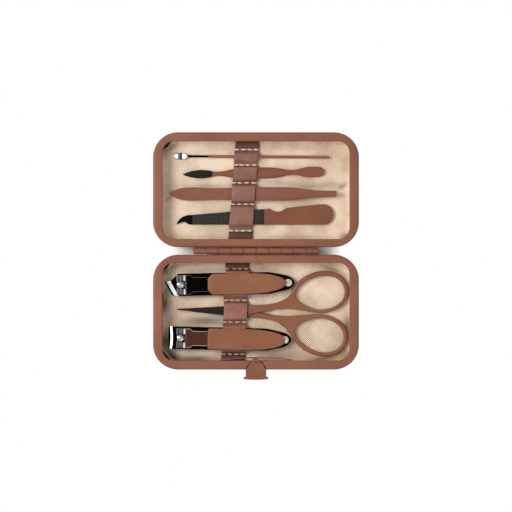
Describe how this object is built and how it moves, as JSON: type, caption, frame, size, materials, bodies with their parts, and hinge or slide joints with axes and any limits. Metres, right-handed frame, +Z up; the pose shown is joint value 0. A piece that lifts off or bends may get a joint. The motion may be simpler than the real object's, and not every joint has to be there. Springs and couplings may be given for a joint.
{
  "type": "manicure set case",
  "caption": "Small hinged case, open flat, with a push latch and grooming tools strapped into both padded trays.",
  "frame": {"origin": "centre of the base tray's flat underside", "axes": "+X along the hinge, +Y from the base tray towards the open lid, +Z up"},
  "size_m": [0.115, 0.1386, 0.0154],
  "materials": {
    "brown_paint": "satin",
    "brown_leather": "fine grain",
    "strap_leather": "smooth, stitched",
    "cream_lining": "diagonal cross-grain",
    "grey_board": "matt",
    "white_foam": "matt",
    "dark_chrome": "mirror",
    "grey_steel": "brushed",
    "nickel": "polished",
    "steel": "satin"
  },
  "bodies": {
    "base": {"base_cover": "brown_leather", "base_board": "grey_board", "base_padding": "white_foam", "base_lining": "cream_lining", "base_frame": "brown_paint", "base_strap": "strap_leather", "base_hinge_leaf": "brown_paint", "hinge_pin": "steel", "latch_spring": "steel", "slant_clipper_lower_jaw": "dark_chrome", "slant_clipper_rivet": "nickel", "slant_clipper_post": "grey_steel", "straight_clipper_lower_jaw": "dark_chrome", "straight_clipper_rivet": "nickel", "straight_clipper_post": "grey_steel", "scissors_upper_half": "brown_paint", "scissors_screw": "steel"},
    "lid": {"lid_cover": "brown_leather", "lid_board": "grey_board", "lid_padding": "white_foam", "lid_lining": "cream_lining", "lid_frame": "brown_paint", "lid_strap": "strap_leather", "lid_hinge_leaf": "brown_paint"},
    "latch": {"latch_tab": "brown_paint"},
    "slant_upper_jaw": {"slant_clipper_upper_jaw": "dark_chrome"},
    "slant_lever": {"slant_clipper_lever": "dark_chrome", "slant_clipper_grip": "brown_paint"},
    "straight_upper_jaw": {"straight_clipper_upper_jaw": "dark_chrome"},
    "straight_lever": {"straight_clipper_lever": "dark_chrome", "straight_clipper_grip": "brown_paint"},
    "scissors_half": {"scissors_lower_half": "brown_paint"},
    "ear_pick": {"ear_pick": "brown_paint"},
    "cuticle_pusher": {"cuticle_pusher": "brown_paint"},
    "tweezers": {"tweezers_lower_arm": "brown_paint"},
    "tweezers_arm": {"tweezers_upper_arm": "brown_paint"},
    "nail_file": {"nail_file": "brown_paint"}
  },
  "joints": [
    {"name": "lid_hinge", "type": "hinge", "parent": "base", "child": "lid", "pos_m": [0, 0.03425, 0.01315], "axis": [1, 0, 0], "range_deg": [0, 180]},
    {"name": "latch_press", "type": "slide", "parent": "base", "child": "latch", "axis": [0, 1, 0], "range_m": [0, 0.0009], "stiffness_N_per_m": 300, "deforming": ["latch_spring"]},
    {"name": "slant_lever_lift", "type": "hinge", "parent": "base", "child": "slant_lever", "pos_m": [-0.04224, 0.01519, 0.01112], "axis": [-0.0209, 0.9998, 0], "range_deg": [-90, 0]},
    {"name": "slant_jaw_squeeze", "type": "hinge", "parent": "base", "child": "slant_upper_jaw", "pos_m": [0.01815, 0.01645, 0.0053], "axis": [0.0209, -0.9998, 0], "range_deg": [0, 0.9], "stiffness_Nm_per_rad": 5},
    {"name": "straight_lever_lift", "type": "hinge", "parent": "base", "child": "straight_lever", "pos_m": [-0.04234, -0.01462, 0.01107], "axis": [0.0209, 0.9998, 0], "range_deg": [-90, 0]},
    {"name": "straight_jaw_squeeze", "type": "hinge", "parent": "base", "child": "straight_upper_jaw", "pos_m": [0.01625, -0.01585, 0.0053], "axis": [-0.0209, -0.9998, 0], "range_deg": [0, 0.85], "stiffness_Nm_per_rad": 5},
    {"name": "scissors_open", "type": "hinge", "parent": "base", "child": "scissors_half", "pos_m": [-0.01105, 0.00025, 0], "axis": [0, 0, 1], "range_deg": [-1.8, 0]},
    {"name": "ear_pick_slide", "type": "slide", "parent": "lid", "child": "ear_pick", "axis": [1, 0, 0], "range_m": [-0.0055, 0.01]},
    {"name": "cuticle_pusher_slide", "type": "slide", "parent": "lid", "child": "cuticle_pusher", "axis": [1, 0, 0], "range_m": [-0.0095, 0.0125]},
    {"name": "tweezers_slide", "type": "slide", "parent": "lid", "child": "tweezers", "axis": [1, 0, 0], "range_m": [-0.0029, 0.006]},
    {"name": "tweezers_squeeze", "type": "hinge", "parent": "tweezers", "child": "tweezers_arm", "pos_m": [-0.0461, 0.06639, 0.0051], "axis": [0, 1, 0], "range_deg": [0, 1.8], "stiffness_Nm_per_rad": 1},
    {"name": "nail_file_slide", "type": "slide", "parent": "lid", "child": "nail_file", "axis": [1, 0, 0], "range_m": [-0.0065, 0.0075]}
  ]
}
